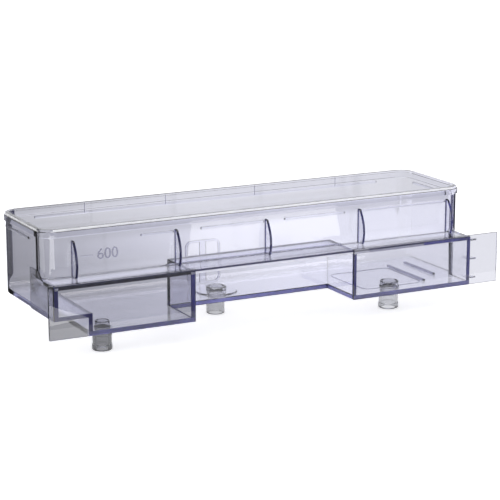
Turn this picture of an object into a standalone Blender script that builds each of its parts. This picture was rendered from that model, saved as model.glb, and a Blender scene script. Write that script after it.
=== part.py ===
"""Open-top fresh water tank in clear plastic, with two front boxes and three outlet tubes.

Body coordinates, under the empty: X = 0 at the outside of the left end wall, Y = 0 at the
front ends of the box walls, Z = 0 at the underside of the deep floor. The empty puts the
centre of the tank's foot print, at the height of the tube ends, at the world origin.
"""
import math

import bmesh
import bpy
from mathutils import Matrix

MM = 0.001

# Body
BOX_SPAN = 260.0 * MM
BASIN_OVERRUN = 4.3 * MM
BODY_DEPTH = 77.6 * MM
WALL = 2.3 * MM
SHELF_TOP = 28.7 * MM
SHELF_THICKNESS = 2.3 * MM
BASIN_FRONT = 16.1 * MM
BASIN_WALL_TOP = 50.8 * MM
CORNER_RADIUS = 9.0 * MM
REAR_EDGE_RADIUS = 11.0 * MM
STEP_X = 19.2 * MM
STEP_HEIGHT = 9.8 * MM

# Recess between the two front boxes
LEFT_BOX_LENGTH = 81.4 * MM
RIGHT_BOX_LENGTH = 79.2 * MM
RECESS_DEPTH = 28.8 * MM

# Rim collar
RIM_HEIGHT = 4.5 * MM
RIM_OVERHANG = 0.9 * MM
RIM_LIP_HEIGHT = 1.4 * MM
RIM_LIP_INSET = 0.7 * MM

# Front plates, their gussets and the plate on the left end wall
PLATE_THICKNESS = 1.6 * MM
PLATE_RISE = 0.8 * MM
LEFT_WING = 3.5 * MM
RIGHT_WING = 18.3 * MM
GUSSET_REACH = 4.2 * MM
GUSSET_DEPTH = 7.2 * MM
GUSSET_THICKNESS = 1.0 * MM
GUSSET_MARGIN = 3.9 * MM
GUSSET_COUNT = 3
SIDE_PLATE_THICKNESS = 0.8 * MM
SIDE_PLATE_DEPTH = 32.5 * MM
SIDE_PLATE_TAB = 4.1 * MM

# Outlet tubes, placed from the step, the recess and the front
TUBE_ABOVE_FLOOR = 3.1 * MM
TUBE_DROP = 10.8 * MM
TUBE_FIT = 0.3 * MM
LEFT_TUBE_PAST_STEP = 10.7 * MM
LEFT_TUBE_Y = 7.6 * MM
MIDDLE_TUBE_PAST_RECESS = 35.7 * MM
MIDDLE_TUBE_FORWARD = 1.65 * MM
RIGHT_TUBE_PAST_RECESS = 31.0 * MM
RIGHT_TUBE_Y = 11.4 * MM

# Ribs and snap beads on the basin wall
RIB_FROM_LEFT = 17.2 * MM
RIB_BEFORE_RECESS = 3.6 * MM
RIB_PAST_MIDDLE = 2.3 * MM
RIB_AFTER_RECESS = 12.8 * MM
RIB_FROM_RIGHT = 10.9 * MM
RIB_THICKNESS = 1.5 * MM
RIB_DEPTH = 6.9 * MM
RIB_BULGE_HEIGHT = 7.0 * MM
RIB_DROP = 3.7 * MM
RIB_TAPER = 0.55
BEAD_HEIGHT = 1.6 * MM
BEAD_PROUD = 1.0 * MM
FRONT_BEAD_DROP = 3.4 * MM
END_BEAD_DROP = 2.6 * MM
REAR_BEAD_DROP = 1.7 * MM
FIRST_BEAD_LENGTH = 19.9 * MM
SECOND_BEAD_PAST_RIB = 15.0 * MM
THIRD_BEAD_PAST_RIB = 11.6 * MM
THIRD_BEAD_BEFORE_RIB = 9.4 * MM
BEAD_RIB_GAP = 0.35 * MM
END_BEAD_PAST_FRONT_CORNER = 8.0 * MM
END_BEAD_BEFORE_REAR_CORNER = 0.5 * MM
REAR_BEAD_FROM_LEFT = 19.5 * MM
REAR_BEAD_FROM_RIGHT = 21.6 * MM
MARK_PAST_RIB = 4.8 * MM
MARK_LENGTH = 6.8 * MM
MARK_HEIGHT = 0.8 * MM
MARK_PROUD = 0.5 * MM
MARK_LEVEL = 39.3 * MM

# Details inside the tank; a floor rib is its distance from the right end, its front and its length
LONG_FLOOR_RIB = (24.7 * MM, 10.6 * MM, 40.0 * MM)
SHORT_FLOOR_RIB = (11.3 * MM, 20.8 * MM, 32.5 * MM)
FLOOR_RIB_WIDTH = 1.6 * MM
FLOOR_RIB_HEIGHT = 1.2 * MM
SEAT_RADIUS = 12.0 * MM
SEAT_HEIGHT = 0.8 * MM
GUIDE_BEFORE_TUBE = 10.1 * MM
GUIDE_WIDTH = 22.3 * MM
GUIDE_HEIGHT = 26.0 * MM
GUIDE_CORNER_RADIUS = 4.0 * MM
GUIDE_BORDER = 1.2 * MM
GUIDE_BAR_WIDTH = 4.1 * MM
GUIDE_THICKNESS = 1.2 * MM

# Clearances and fineness
SEAM_GAP = 0.3 * MM
CUT_MARGIN = 5.0 * MM
MERGE_DISTANCE = 0.001 * MM
CORNER_SEGMENTS = 8
ROUND_SEGMENTS = 40

# Derived planes
FLOOR = WALL
BASIN_LENGTH = BOX_SPAN + BASIN_OVERRUN
RECESS_LEFT = LEFT_BOX_LENGTH
RECESS_RIGHT = BOX_SPAN - RIGHT_BOX_LENGTH
SHELF_UNDERSIDE = SHELF_TOP - SHELF_THICKNESS
SHELF_REACH = BASIN_FRONT + CORNER_RADIUS
RECESS_WALL_INNER = RECESS_DEPTH + WALL
RIM_TOP = BASIN_WALL_TOP + RIM_HEIGHT
PLATE_TOP = SHELF_TOP + PLATE_RISE
GUIDE_PLANE = BODY_DEPTH - REAR_EDGE_RADIUS
RIB_HEIGHT = BASIN_WALL_TOP - SHELF_TOP - RIB_DROP

# Derived places along the tank
RIB_CENTRES = [
    RIB_FROM_LEFT,
    RECESS_LEFT - RIB_BEFORE_RECESS,
    (RECESS_LEFT + RECESS_RIGHT) / 2 + RIB_PAST_MIDDLE,
    RECESS_RIGHT + RIB_AFTER_RECESS,
    BASIN_LENGTH - RIB_FROM_RIGHT,
]
MIDDLE_TUBE_X = RECESS_LEFT + MIDDLE_TUBE_PAST_RECESS
MIDDLE_TUBE_Y = (RECESS_WALL_INNER + GUIDE_PLANE - GUIDE_THICKNESS) / 2 - MIDDLE_TUBE_FORWARD
GUIDE_LEFT = MIDDLE_TUBE_X - GUIDE_BEFORE_TUBE

LEFT_TUBE_X = STEP_X + LEFT_TUBE_PAST_STEP
RIGHT_TUBE_X = RECESS_RIGHT + RIGHT_TUBE_PAST_RECESS

# Each tube's centre, then the radius of its neck, its spout and its bore
TUBES = {
    "left_outlet_tube": ((LEFT_TUBE_X, LEFT_TUBE_Y), 4.1 * MM, 5.6 * MM, 3.1 * MM),
    "middle_outlet_tube": ((MIDDLE_TUBE_X, MIDDLE_TUBE_Y), 5.9 * MM, 5.3 * MM, 4.0 * MM),
    "right_outlet_tube": ((RIGHT_TUBE_X, RIGHT_TUBE_Y), 5.4 * MM, 5.9 * MM, 4.1 * MM),
}

# Turns a flat outline (local x, y) into the named plane, thickness along the third axis
FACING_X = (math.pi / 2, 0.0, math.pi / 2)
FACING_Y = (math.pi / 2, 0.0, 0.0)
FACING_Z = (0.0, 0.0, 0.0)


def clear_scene():
    for obj in list(bpy.data.objects):
        bpy.data.objects.remove(obj, do_unlink=True)


def make_collection(name):
    collection = bpy.data.collections.new(name)
    bpy.context.scene.collection.children.link(collection)
    return collection


def make_frame(collection):
    """The empty that carries every piece of the tank."""
    left = -max(LEFT_WING, RIM_OVERHANG)
    right = max(BOX_SPAN + RIGHT_WING, BASIN_LENGTH + RIM_OVERHANG)
    front = -PLATE_THICKNESS
    back = BODY_DEPTH + max(RIM_OVERHANG, BEAD_PROUD)
    empty = bpy.data.objects.new("tank_frame", None)
    empty.location = (-(left + right) / 2, -(front + back) / 2, TUBE_DROP)
    collection.objects.link(empty)
    bpy.context.view_layer.update()
    return empty


def make_material(name, colour, roughness, transmission):
    material = bpy.data.materials.new(name)
    material.use_nodes = True
    shader = material.node_tree.nodes["Principled BSDF"]
    shader.inputs["Base Color"].default_value = (*colour, 1.0)
    shader.inputs["Roughness"].default_value = roughness
    shader.inputs["Metallic"].default_value = 0.0
    shader.inputs["IOR"].default_value = 1.58
    shader.inputs["Transmission Weight"].default_value = transmission
    return material


def place(name, mesh, location, rotation=FACING_Z):
    obj = bpy.data.objects.new(name, mesh)
    obj.parent = frame
    obj.location = location
    obj.rotation_euler = rotation
    cutters.objects.link(obj)
    obj.hide_render = True
    obj.display_type = "WIRE"
    return obj


def finish(obj, material, smooth_angle=30.0):
    """Moves a finished piece to the tank's collection and gives it its material."""
    cutters.objects.unlink(obj)
    parts.objects.link(obj)
    obj.hide_render = False
    obj.display_type = "TEXTURED"
    obj.data.materials.clear()
    obj.data.materials.append(material)
    obj.data.shade_smooth()
    obj.data.set_sharp_from_angle(angle=math.radians(smooth_angle))
    return obj


def block(name, low, high):
    """A box between two corners."""
    size = [b - a for a, b in zip(low, high)]
    centre = [(a + b) / 2 for a, b in zip(low, high)]
    bm = bmesh.new()
    bmesh.ops.create_cube(bm, size=1.0, matrix=Matrix.Diagonal((*size, 1.0)))
    mesh = bpy.data.meshes.new(name)
    bm.to_mesh(mesh)
    bm.free()
    return place(name, mesh, centre)


def cylinder(name, radius, centre, low, high):
    """An upright cylinder from the height low to the height high."""
    bm = bmesh.new()
    bmesh.ops.create_cone(
        bm, cap_ends=True, segments=ROUND_SEGMENTS, radius1=radius, radius2=radius, depth=high - low
    )
    mesh = bpy.data.meshes.new(name)
    bm.to_mesh(mesh)
    bm.free()
    return place(name, mesh, (*centre, (low + high) / 2))


def prism(name, outline, thickness, location, rotation=FACING_Z):
    """A flat outline given a thickness, centred on its own plane."""
    curve = bpy.data.curves.new(name, "CURVE")
    curve.dimensions = "2D"
    curve.fill_mode = "BOTH"
    curve.extrude = thickness / 2
    spline = curve.splines.new("POLY")
    spline.points.add(len(outline) - 1)
    for point, (x, y) in zip(spline.points, outline):
        point.co = (x, y, 0.0, 1.0)
    spline.use_cyclic_u = True
    source = place(name + "_outline", curve, location, rotation)
    bpy.context.view_layer.update()
    evaluated = source.evaluated_get(bpy.context.evaluated_depsgraph_get())
    mesh = bpy.data.meshes.new_from_object(evaluated)
    mesh.name = name
    bpy.data.objects.remove(source, do_unlink=True)
    bm = bmesh.new()
    bm.from_mesh(mesh)
    bmesh.ops.remove_doubles(bm, verts=bm.verts, dist=MERGE_DISTANCE)
    bm.to_mesh(mesh)
    bm.free()
    return place(name, mesh, location, rotation)


def boolean(target, tool, operation):
    modifier = target.modifiers.new(tool.name, "BOOLEAN")
    modifier.operation = operation
    modifier.solver = "EXACT"
    modifier.object = tool
    return target


def cut(target, *tools):
    for tool in tools:
        boolean(target, tool, "DIFFERENCE")
    return target


def join(target, *tools):
    for tool in tools:
        boolean(target, tool, "UNION")
    return target


def arc(centre, radius, start, end, segments=CORNER_SEGMENTS):
    """Points on an arc, angles in degrees, both ends included."""
    points = []
    for step in range(segments + 1):
        angle = math.radians(start + (end - start) * step / segments)
        points.append((centre[0] + radius * math.cos(angle), centre[1] + radius * math.sin(angle)))
    return points


def rounded_rectangle(low, high, radius):
    """Counter-clockwise outline with four equal round corners."""
    left, bottom = low[0] + radius, low[1] + radius
    right, top = high[0] - radius, high[1] - radius
    return (
        arc((right, bottom), radius, -90, 0)
        + arc((right, top), radius, 0, 90)
        + arc((left, top), radius, 90, 180)
        + arc((left, bottom), radius, 180, 270)
    )


def basin_outline(inset):
    """The basin seen from above, set in or grown from its outer face."""
    low = (inset, BASIN_FRONT + inset)
    high = (BASIN_LENGTH - inset, BODY_DEPTH - inset)
    return rounded_rectangle(low, high, CORNER_RADIUS - inset)


def side_outline(inset, front, bottom, top):
    """The body seen from the side: round at the rear lower edge."""
    radius = REAR_EDGE_RADIUS - inset
    back = BODY_DEPTH - inset
    lower = bottom + inset
    return [(back, top), (front, top), (front, lower)] + arc((back - radius, lower + radius), radius, -90, 0)


def plan_form(name, inset, front, low, high):
    """The whole tank from above: the round-cornered basin and the straight boxes in front."""
    form = prism(name, basin_outline(inset), high - low, (0.0, 0.0, (low + high) / 2))
    return join(form, block(name + "_boxes", (inset, front, low), (BOX_SPAN - inset, SHELF_REACH, high)))


def body_form(name, inset, front, top):
    """The stepped tank form, set in by a wall's thickness for the hollow inside it."""
    left = inset
    right = BASIN_LENGTH - inset
    step = STEP_X + inset
    raised = side_outline(inset, front, STEP_HEIGHT, top)
    deep = side_outline(inset, front, 0.0, top)
    form = prism(name, deep, right - step, ((step + right) / 2, 0.0, 0.0), FACING_X)
    raised_width = step + WALL - left
    ledge = prism(name + "_ledge", raised, raised_width, (left + raised_width / 2, 0.0, 0.0), FACING_X)
    plan = plan_form(name + "_plan", inset, front, -CUT_MARGIN, top + CUT_MARGIN)
    join(form, ledge)
    return boolean(form, plan, "INTERSECT")


def recess_form(name, wall, top):
    """The space between the boxes, grown by a wall's thickness where a wall lines it."""
    low = (RECESS_LEFT - wall, -CUT_MARGIN - wall, -CUT_MARGIN)
    high = (RECESS_RIGHT + wall, RECESS_DEPTH + wall, top)
    return block(name, low, high)


def make_lower_tray():
    """Floor, ends, back and box walls, up to the shelf; both boxes are open in front."""
    tray = body_form("lower_tray", 0.0, 0.0, SHELF_TOP)
    hollow = body_form("tray_hollow", WALL, -CUT_MARGIN, SHELF_TOP + CUT_MARGIN)
    cut(hollow, recess_form("recess_lining", WALL, SHELF_TOP + 2 * CUT_MARGIN))
    recess = recess_form("recess_space", 0.0, SHELF_TOP + CUT_MARGIN)
    seat_low = (-CUT_MARGIN, -CUT_MARGIN, SHELF_UNDERSIDE)
    seat_high = (BASIN_LENGTH + CUT_MARGIN, SHELF_REACH + SEAM_GAP, SHELF_TOP + CUT_MARGIN)
    shelf_seat = block("shelf_seat", seat_low, seat_high)
    bump_low = (RECESS_LEFT - WALL - CUT_MARGIN, 0.0, SHELF_UNDERSIDE)
    bump_high = (RECESS_RIGHT + WALL + CUT_MARGIN, RECESS_WALL_INNER + CUT_MARGIN, SHELF_TOP + CUT_MARGIN)
    bump_seat = block("bump_seat", bump_low, bump_high)
    seat_centre = TUBES["middle_outlet_tube"][0]
    cut(tray, hollow)
    join(tray, cylinder("tube_seat", SEAT_RADIUS, seat_centre, FLOOR / 2, FLOOR + SEAT_HEIGHT))
    cut(tray, recess, shelf_seat, bump_seat)
    for tube, (centre, neck, spout, _) in TUBES.items():
        radius = min(neck, spout) + TUBE_FIT
        cut(tray, cylinder(tube + "_hole", radius, centre, -CUT_MARGIN, FLOOR + CUT_MARGIN))
    return finish(tray, clear_body)


def make_shoulder_shelf():
    """The shelf over both boxes and the recess, open under the basin."""
    middle = (SHELF_UNDERSIDE + SHELF_TOP) / 2
    shelf = plan_form("shoulder_shelf", 0.0, 0.0, SHELF_UNDERSIDE, SHELF_TOP)
    rear_low = (-CUT_MARGIN, SHELF_REACH, SHELF_UNDERSIDE - CUT_MARGIN)
    rear_high = (BASIN_LENGTH + CUT_MARGIN, BODY_DEPTH + CUT_MARGIN, SHELF_TOP + CUT_MARGIN)
    opening = prism("basin_opening", basin_outline(WALL), 2 * SHELF_THICKNESS, (0.0, 0.0, middle))
    bump_low = (RECESS_LEFT - WALL, BASIN_FRONT, SHELF_UNDERSIDE)
    bump_high = (RECESS_RIGHT + WALL, RECESS_WALL_INNER, SHELF_TOP)
    cut(shelf, block("shelf_rear", rear_low, rear_high), opening)
    join(shelf, block("recess_ceiling", bump_low, bump_high))
    return finish(shelf, clear_body)


def ring(name, outer_inset, inner_inset, low, high):
    """A band that follows the basin's outline."""
    middle = (low + high) / 2
    band = prism(name, basin_outline(outer_inset), high - low, (0.0, 0.0, middle))
    inside = prism(name + "_inside", basin_outline(inner_inset), 2 * (high - low), (0.0, 0.0, middle))
    return cut(band, inside)


def make_basin_wall():
    wall = ring("basin_wall", 0.0, WALL, SHELF_TOP, BASIN_WALL_TOP)
    return finish(wall, clear_body)


def make_rim_collar():
    """The collar round the mouth, with a narrower lip on top."""
    ledge = RIM_TOP - RIM_LIP_HEIGHT
    collar = ring("rim_collar", -RIM_OVERHANG, WALL, BASIN_WALL_TOP, ledge)
    lip = ring("rim_lip", RIM_LIP_INSET - RIM_OVERHANG, WALL, (BASIN_WALL_TOP + ledge) / 2, RIM_TOP)
    return finish(join(collar, lip), clear_body)


def make_front_plate(name, left, right):
    low = (left, -PLATE_THICKNESS, 0.0)
    high = (right, 0.0, PLATE_TOP)
    return finish(block(name, low, high), clear_plate)


def make_gussets():
    """Small triangles that brace the right plate's wing against the end wall."""
    outline = [(0.0, 0.0), (GUSSET_REACH, 0.0), (0.0, GUSSET_DEPTH)]
    low = GUSSET_MARGIN
    high = SHELF_UNDERSIDE
    for index in range(GUSSET_COUNT):
        height = low + (high - low) * index / (GUSSET_COUNT - 1)
        name = "wing_gusset_" + str(index + 1)
        finish(prism(name, outline, GUSSET_THICKNESS, (BOX_SPAN, 0.0, height)), clear_body)


def make_left_side_plate():
    """A thin plate on the left end wall, with a tab that stands up past the shelf."""
    tab_top = SHELF_TOP + SIDE_PLATE_TAB
    outline = [
        (0.0, STEP_HEIGHT),
        (SIDE_PLATE_DEPTH, STEP_HEIGHT),
        (SIDE_PLATE_DEPTH, tab_top),
        (BASIN_FRONT + SIDE_PLATE_TAB, tab_top),
        (BASIN_FRONT, SHELF_TOP),
        (0.0, SHELF_TOP),
    ]
    location = (-SIDE_PLATE_THICKNESS / 2, 0.0, 0.0)
    return finish(prism("left_side_plate", outline, SIDE_PLATE_THICKNESS, location, FACING_X), clear_plate)


def make_tubes():
    """Each tube passes the floor at its thinner end and bears on it with its wider end."""
    top = FLOOR + TUBE_ABOVE_FLOOR
    for name, (centre, neck, spout, bore) in TUBES.items():
        tube = cylinder(name, min(neck, spout), centre, -TUBE_DROP, top)
        seat = FLOOR + SEAT_HEIGHT if name == "middle_outlet_tube" else FLOOR
        if neck > spout:
            join(tube, cylinder(name + "_neck", neck, centre, seat, top))
        else:
            join(tube, cylinder(name + "_spout", spout, centre, -TUBE_DROP, 0.0))
        hole = cylinder(name + "_bore", bore, centre, -TUBE_DROP - CUT_MARGIN, top + CUT_MARGIN)
        finish(cut(tube, hole), clear_tube)


def rib_outline():
    """Side view of a rib: fullest low down, tapering to a round top."""
    rise = RIB_HEIGHT - RIB_BULGE_HEIGHT
    points = [(0.0, 0.0)]
    for step in range(CORNER_SEGMENTS + 1):
        height = RIB_HEIGHT * step / CORNER_SEGMENTS
        lean = (height - RIB_BULGE_HEIGHT) / rise
        points.append((-RIB_DEPTH * (1.0 - RIB_TAPER * lean * lean), height))
    crown = RIB_DEPTH * (1.0 - RIB_TAPER)
    round_top = arc((0.0, 0.0), 1.0, 180, 90)[1:]
    return points + [(x * crown, RIB_HEIGHT + y * crown / 2) for x, y in round_top]


def make_ribs():
    outline = rib_outline()
    for index, x in enumerate(RIB_CENTRES):
        name = "front_rib_" + str(index + 1)
        location = (x, BASIN_FRONT, SHELF_TOP)
        finish(prism(name, outline[::-1], RIB_THICKNESS, location, FACING_X), clear_body)


def bead_outline(length):
    radius = BEAD_HEIGHT / 2
    half = length / 2 - radius
    return arc((half, 0.0), radius, -90, 90) + arc((-half, 0.0), radius, 90, 270)


def make_bead(name, length, location, rotation):
    return finish(prism(name, bead_outline(length), BEAD_PROUD, location, rotation), clear_body)


def front_bead_spans():
    """Left and right ends of the front beads; three of them end beside a rib."""
    beside = RIB_THICKNESS / 2 + BEAD_RIB_GAP
    second, third, fourth, fifth = RIB_CENTRES[1:]
    return [
        (second - beside - FIRST_BEAD_LENGTH, second - beside),
        (second + SECOND_BEAD_PAST_RIB, third - beside),
        (third + THIRD_BEAD_PAST_RIB, fourth - THIRD_BEAD_BEFORE_RIB),
        (fourth + beside, fifth - beside),
    ]


def make_beads():
    """Low bars with round ends, just under the rim, that a lid would snap over."""
    proud = BEAD_PROUD / 2
    for index, (left, right) in enumerate(front_bead_spans()):
        location = ((left + right) / 2, BASIN_FRONT - proud, BASIN_WALL_TOP - FRONT_BEAD_DROP)
        make_bead("front_snap_bead_" + str(index + 1), right - left, location, FACING_Y)
    end_front = BASIN_FRONT + CORNER_RADIUS + END_BEAD_PAST_FRONT_CORNER
    end_rear = BODY_DEPTH - CORNER_RADIUS - END_BEAD_BEFORE_REAR_CORNER
    end_centre = (end_front + end_rear) / 2
    end_level = BASIN_WALL_TOP - END_BEAD_DROP
    for name, x in (("left_snap_bead", -proud), ("right_snap_bead", BASIN_LENGTH + proud)):
        make_bead(name, end_rear - end_front, (x, end_centre, end_level), FACING_X)
    rear_right = BASIN_LENGTH - REAR_BEAD_FROM_RIGHT
    rear_centre = (REAR_BEAD_FROM_LEFT + rear_right) / 2
    rear_level = BASIN_WALL_TOP - REAR_BEAD_DROP
    rear_length = rear_right - REAR_BEAD_FROM_LEFT
    make_bead("rear_snap_bead", rear_length, (rear_centre, BODY_DEPTH + proud, rear_level), FACING_Y)


def make_level_mark():
    left = RIB_CENTRES[0] + MARK_PAST_RIB
    low = (left, BASIN_FRONT - MARK_PROUD, MARK_LEVEL - MARK_HEIGHT / 2)
    high = (left + MARK_LENGTH, BASIN_FRONT, MARK_LEVEL + MARK_HEIGHT / 2)
    return finish(block("level_mark", low, high), clear_body)


def make_floor_ribs():
    """Two parallel bars on the floor of the right box."""
    for index, (from_right, front, length) in enumerate((LONG_FLOOR_RIB, SHORT_FLOOR_RIB)):
        x = BOX_SPAN - from_right
        low = (x - FLOOR_RIB_WIDTH / 2, front, FLOOR)
        high = (x + FLOOR_RIB_WIDTH / 2, front + length, FLOOR + FLOOR_RIB_HEIGHT)
        finish(block("floor_rib_" + str(index + 1), low, high), clear_body)


def make_float_guide():
    """A round-cornered frame with an upright bar, standing on the floor by the back wall."""
    right = GUIDE_LEFT + GUIDE_WIDTH
    top = FLOOR + GUIDE_HEIGHT
    location = (0.0, GUIDE_PLANE - GUIDE_THICKNESS / 2, 0.0)
    outer = rounded_rectangle((GUIDE_LEFT, FLOOR), (right, top), GUIDE_CORNER_RADIUS)
    inner = rounded_rectangle(
        (GUIDE_LEFT + GUIDE_BORDER, FLOOR + GUIDE_BORDER),
        (right - GUIDE_BORDER, top - GUIDE_BORDER),
        GUIDE_CORNER_RADIUS - GUIDE_BORDER,
    )
    guide = prism("float_guide", outer, GUIDE_THICKNESS, location, FACING_Y)
    window = prism("guide_window", inner, 3 * GUIDE_THICKNESS, location, FACING_Y)
    bar_left = GUIDE_LEFT + GUIDE_WIDTH / 2 - GUIDE_BAR_WIDTH / 2
    bar_low = (bar_left, GUIDE_PLANE - GUIDE_THICKNESS, FLOOR + GUIDE_BORDER / 2)
    bar_high = (bar_left + GUIDE_BAR_WIDTH, GUIDE_PLANE, top - GUIDE_BORDER / 2)
    cut(guide, window)
    join(guide, block("guide_bar", bar_low, bar_high))
    return finish(guide, clear_body)


clear_scene()
parts = make_collection("fresh_water_tank")
cutters = make_collection("tank_cutters")
frame = make_frame(parts)
clear_body = make_material("clear_body", (0.80, 0.81, 0.90), 0.05, 0.9)
clear_plate = make_material("clear_plate", (0.84, 0.84, 0.90), 0.08, 0.9)
clear_tube = make_material("clear_tube", (0.70, 0.72, 0.76), 0.08, 0.8)

make_lower_tray()
make_shoulder_shelf()
make_basin_wall()
make_rim_collar()
make_front_plate("left_front_plate", -LEFT_WING, RECESS_LEFT)
make_front_plate("right_front_plate", RECESS_RIGHT, BOX_SPAN + RIGHT_WING)
make_gussets()
make_left_side_plate()
make_tubes()
make_ribs()
make_beads()
make_level_mark()
make_floor_ribs()
make_float_guide()
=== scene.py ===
"""Looks of a clear moulded fresh water tank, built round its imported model.

The tank is one thin-walled moulding of clear polycarbonate with a faint lavender cast. Its walls
are modelled as one continuous glassy shell. Light that runs along a wall leaves it navy or black
at the ends, and faces marked with a tint stand in for that. Flat sheets close the two front
boxes, and short grey tubes pass through the floor.
"""

import math

import bpy
from mathutils import Matrix, Vector


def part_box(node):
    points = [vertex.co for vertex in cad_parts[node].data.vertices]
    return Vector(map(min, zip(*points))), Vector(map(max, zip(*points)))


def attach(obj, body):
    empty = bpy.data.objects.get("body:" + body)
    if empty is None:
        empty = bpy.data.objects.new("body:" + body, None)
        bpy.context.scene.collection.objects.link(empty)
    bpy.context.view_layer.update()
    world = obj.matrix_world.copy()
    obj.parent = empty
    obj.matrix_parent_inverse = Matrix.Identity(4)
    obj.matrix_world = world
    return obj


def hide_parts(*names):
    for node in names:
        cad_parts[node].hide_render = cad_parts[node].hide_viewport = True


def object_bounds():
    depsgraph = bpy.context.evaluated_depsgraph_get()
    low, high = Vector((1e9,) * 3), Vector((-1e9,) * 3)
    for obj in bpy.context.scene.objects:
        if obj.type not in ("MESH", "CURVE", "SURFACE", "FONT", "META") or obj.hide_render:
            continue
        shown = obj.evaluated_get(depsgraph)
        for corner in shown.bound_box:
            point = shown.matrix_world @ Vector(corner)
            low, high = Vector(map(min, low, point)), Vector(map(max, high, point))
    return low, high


bl_info = {
    "name": "Clear Water Tank",
    "version": (1, 0, 0),
    "blender": (4, 5, 0),
    "location": "View3D > Sidebar > Water Tank",
    "description": "Models a clear moulded water tank with front boxes, fins and outlet tubes",
    "category": "Object",
}

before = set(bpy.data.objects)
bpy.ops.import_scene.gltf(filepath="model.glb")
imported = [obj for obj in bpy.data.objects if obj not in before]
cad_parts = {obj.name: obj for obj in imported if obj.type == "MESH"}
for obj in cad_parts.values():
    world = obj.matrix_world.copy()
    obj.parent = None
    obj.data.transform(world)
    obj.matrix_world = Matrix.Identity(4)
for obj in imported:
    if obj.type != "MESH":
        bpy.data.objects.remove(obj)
cad_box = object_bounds()
BODY = "root"
MM = 0.001

# Key places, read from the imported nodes
TRAY_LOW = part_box("lower_tray")[0]
SHELF_LOW, SHELF_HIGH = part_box("shoulder_shelf")
WALL_LOW, WALL_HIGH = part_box("basin_wall")
RIM_LOW, RIM_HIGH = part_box("rim_collar")
LEFT_PLATE_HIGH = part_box("left_front_plate")[1]
RIGHT_PLATE_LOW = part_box("right_front_plate")[0]
LEDGE_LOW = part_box("left_side_plate")[0]
FLOOR_LEVEL = TRAY_LOW.z
SHELF_LEVEL = SHELF_HIGH.z
BOX_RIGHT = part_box("wing_gusset_1")[0].x


class TankSizes(bpy.types.PropertyGroup):
    """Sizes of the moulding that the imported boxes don't say by themselves."""

    wall: bpy.props.FloatProperty(
        name="Wall", description="Thickness of every wall and floor",
        default=2.3 * MM, min=0.5 * MM, subtype="DISTANCE", unit="LENGTH",
    )
    corner_radius: bpy.props.FloatProperty(
        name="Corner radius", description="Outer radius of the basin's upright corners",
        default=9.0 * MM, min=3.0 * MM, subtype="DISTANCE", unit="LENGTH",
    )
    rear_edge_radius: bpy.props.FloatProperty(
        name="Rear edge radius", description="Outer radius between the floor and the back wall",
        default=11.0 * MM, min=3.0 * MM, subtype="DISTANCE", unit="LENGTH",
    )
    step_length: bpy.props.FloatProperty(
        name="Step length", description="How far the raised floor reaches from the left end",
        default=19.2 * MM, subtype="DISTANCE", unit="LENGTH",
    )
    recess_depth: bpy.props.FloatProperty(
        name="Recess depth", description="How far the space between the boxes runs back",
        default=28.8 * MM, subtype="DISTANCE", unit="LENGTH",
    )
    lip_height: bpy.props.FloatProperty(
        name="Lip height", description="Height of the narrow lip on top of the rim collar",
        default=1.4 * MM, subtype="DISTANCE", unit="LENGTH",
    )
    lip_inset: bpy.props.FloatProperty(
        name="Lip inset", description="How far the lip is set in from the collar",
        default=0.7 * MM, subtype="DISTANCE", unit="LENGTH",
    )
    foot_fillet: bpy.props.FloatProperty(
        name="Foot fillet", description="Radius where the basin wall flares out into the shelf",
        default=1.0 * MM, subtype="DISTANCE", unit="LENGTH",
    )
    edge_round: bpy.props.FloatProperty(
        name="Edge rounding", description="Radius that the mould leaves on sharp edges",
        default=0.35 * MM, subtype="DISTANCE", unit="LENGTH",
    )
    seat_radius: bpy.props.FloatProperty(
        name="Tube seat radius", description="Radius of the raised seat round the middle tube",
        default=12.0 * MM, subtype="DISTANCE", unit="LENGTH",
    )
    seat_height: bpy.props.FloatProperty(
        name="Tube seat height", description="Height of that seat above the floor",
        default=0.8 * MM, subtype="DISTANCE", unit="LENGTH",
    )
    air_gap: bpy.props.FloatProperty(
        name="Air gap", description="Film of air between two clear pieces that touch",
        default=0.02 * MM, subtype="DISTANCE", unit="LENGTH", precision=6,
    )
    numeral_height: bpy.props.FloatProperty(
        name="Numeral height", description="Height of the raised number by the level mark",
        default=6.0 * MM, subtype="DISTANCE", unit="LENGTH",
    )


def hex_colour(name, description, default):
    """A colour that a user may change, as an sRGB hex value."""
    return bpy.props.StringProperty(name=name, description=description, default=default)


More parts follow.
